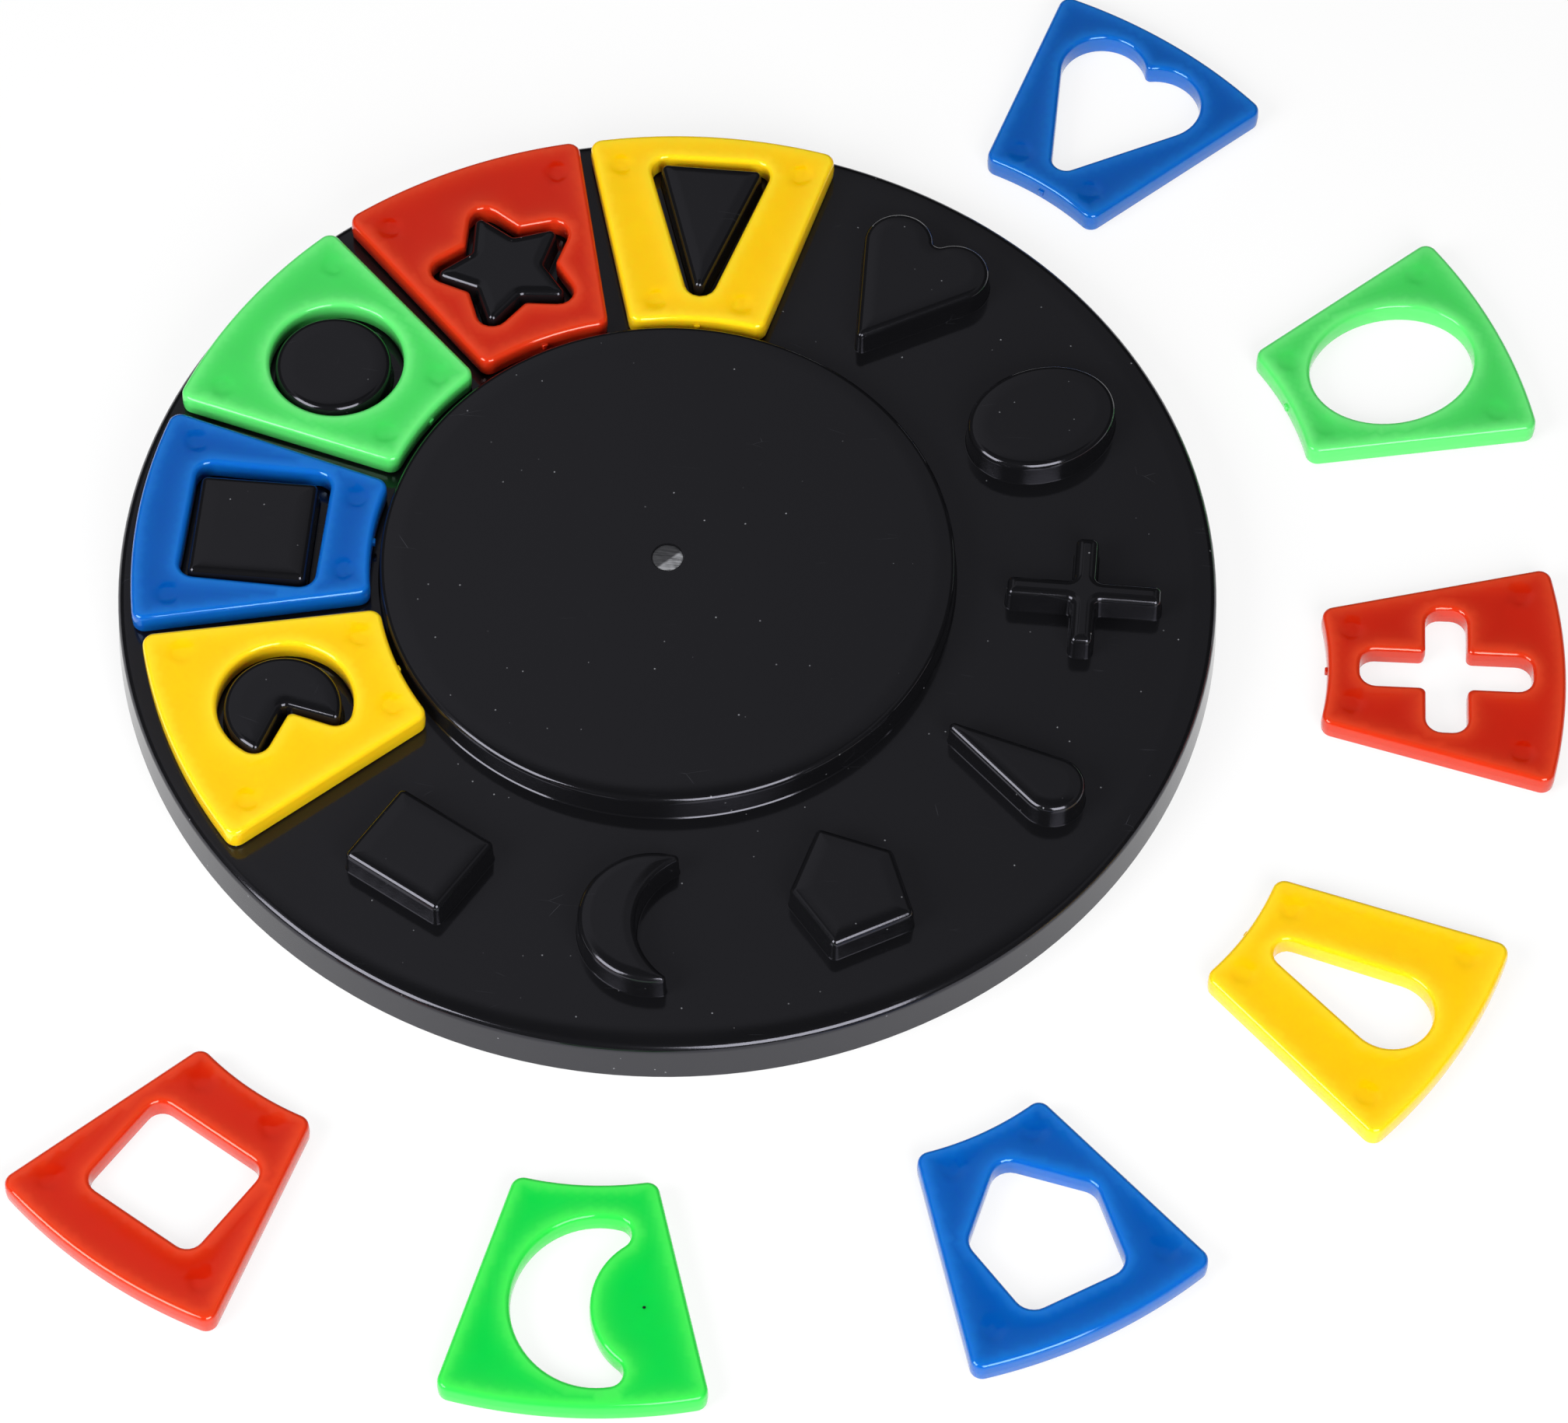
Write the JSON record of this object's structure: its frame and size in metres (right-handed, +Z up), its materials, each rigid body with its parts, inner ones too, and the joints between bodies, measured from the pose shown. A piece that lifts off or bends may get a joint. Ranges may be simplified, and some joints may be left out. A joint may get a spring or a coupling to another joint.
{
  "type": "shape puzzle board",
  "caption": "Round board with a raised disc and a ring of raised shape pegs, and wedge tiles with matching holes that drop over the pegs and lift off.",
  "frame": {"origin": "centre of the board on the plane that it stands on, at the bottom of the boss under its middle", "axes": "+Z up, square to the deck; +X from the centre through the cross peg; +Y through the triangle peg"},
  "size_m": [0.4, 0.4695, 0.0218],
  "materials": {
    "black_plastic": "gloss",
    "yellow_plastic": "semi-gloss moulded",
    "blue_plastic": "semi-gloss moulded",
    "green_plastic": "semi-gloss moulded",
    "light_green_plastic": "semi-gloss moulded",
    "red_plastic": "semi-gloss moulded"
  },
  "bodies": {
    "board": {"board": "black_plastic", "peg_triangle": "black_plastic", "peg_heart": "black_plastic", "peg_ellipse": "black_plastic", "peg_cross": "black_plastic", "peg_teardrop": "black_plastic", "peg_pentagon": "black_plastic", "peg_crescent": "black_plastic", "peg_rectangle": "black_plastic", "peg_notched_disc": "black_plastic", "peg_square": "black_plastic", "peg_circle": "black_plastic", "peg_star": "black_plastic"},
    "triangle_tile": {"tile_triangle": "yellow_plastic"},
    "heart_tile": {"tile_heart": "blue_plastic"},
    "ellipse_tile": {"tile_ellipse": "green_plastic"},
    "cross_tile": {"tile_cross": "red_plastic"},
    "teardrop_tile": {"tile_teardrop": "yellow_plastic"},
    "pentagon_tile": {"tile_pentagon": "blue_plastic"},
    "crescent_tile": {"tile_crescent": "light_green_plastic"},
    "rectangle_tile": {"tile_rectangle": "red_plastic"},
    "notched_disc_tile": {"tile_notched_disc": "yellow_plastic"},
    "square_tile": {"tile_square": "blue_plastic"},
    "circle_tile": {"tile_circle": "green_plastic"},
    "star_tile": {"tile_star": "red_plastic"}
  },
  "joints": [
    {"name": "triangle_lift", "type": "slide", "parent": "board", "child": "triangle_tile", "axis": [0, 0, 1], "range_m": [0, 0.03]},
    {"name": "heart_lift", "type": "slide", "parent": "board", "child": "heart_tile", "axis": [0, 0, 1], "range_m": [0, 0.03]},
    {"name": "ellipse_lift", "type": "slide", "parent": "board", "child": "ellipse_tile", "axis": [0, 0, 1], "range_m": [0, 0.03]},
    {"name": "cross_lift", "type": "slide", "parent": "board", "child": "cross_tile", "axis": [0, 0, 1], "range_m": [0, 0.03]},
    {"name": "teardrop_lift", "type": "slide", "parent": "board", "child": "teardrop_tile", "axis": [0, 0, 1], "range_m": [0, 0.03]},
    {"name": "pentagon_lift", "type": "slide", "parent": "board", "child": "pentagon_tile", "axis": [0, 0, 1], "range_m": [0, 0.03]},
    {"name": "crescent_lift", "type": "slide", "parent": "board", "child": "crescent_tile", "axis": [0, 0, 1], "range_m": [0, 0.03]},
    {"name": "rectangle_lift", "type": "slide", "parent": "board", "child": "rectangle_tile", "axis": [0, 0, 1], "range_m": [0, 0.03]},
    {"name": "notched_disc_lift", "type": "slide", "parent": "board", "child": "notched_disc_tile", "axis": [0, 0, 1], "range_m": [0, 0.03]},
    {"name": "square_lift", "type": "slide", "parent": "board", "child": "square_tile", "axis": [0, 0, 1], "range_m": [0, 0.03]},
    {"name": "circle_lift", "type": "slide", "parent": "board", "child": "circle_tile", "axis": [0, 0, 1], "range_m": [0, 0.03]},
    {"name": "star_lift", "type": "slide", "parent": "board", "child": "star_tile", "axis": [0, 0, 1], "range_m": [0, 0.03]}
  ]
}
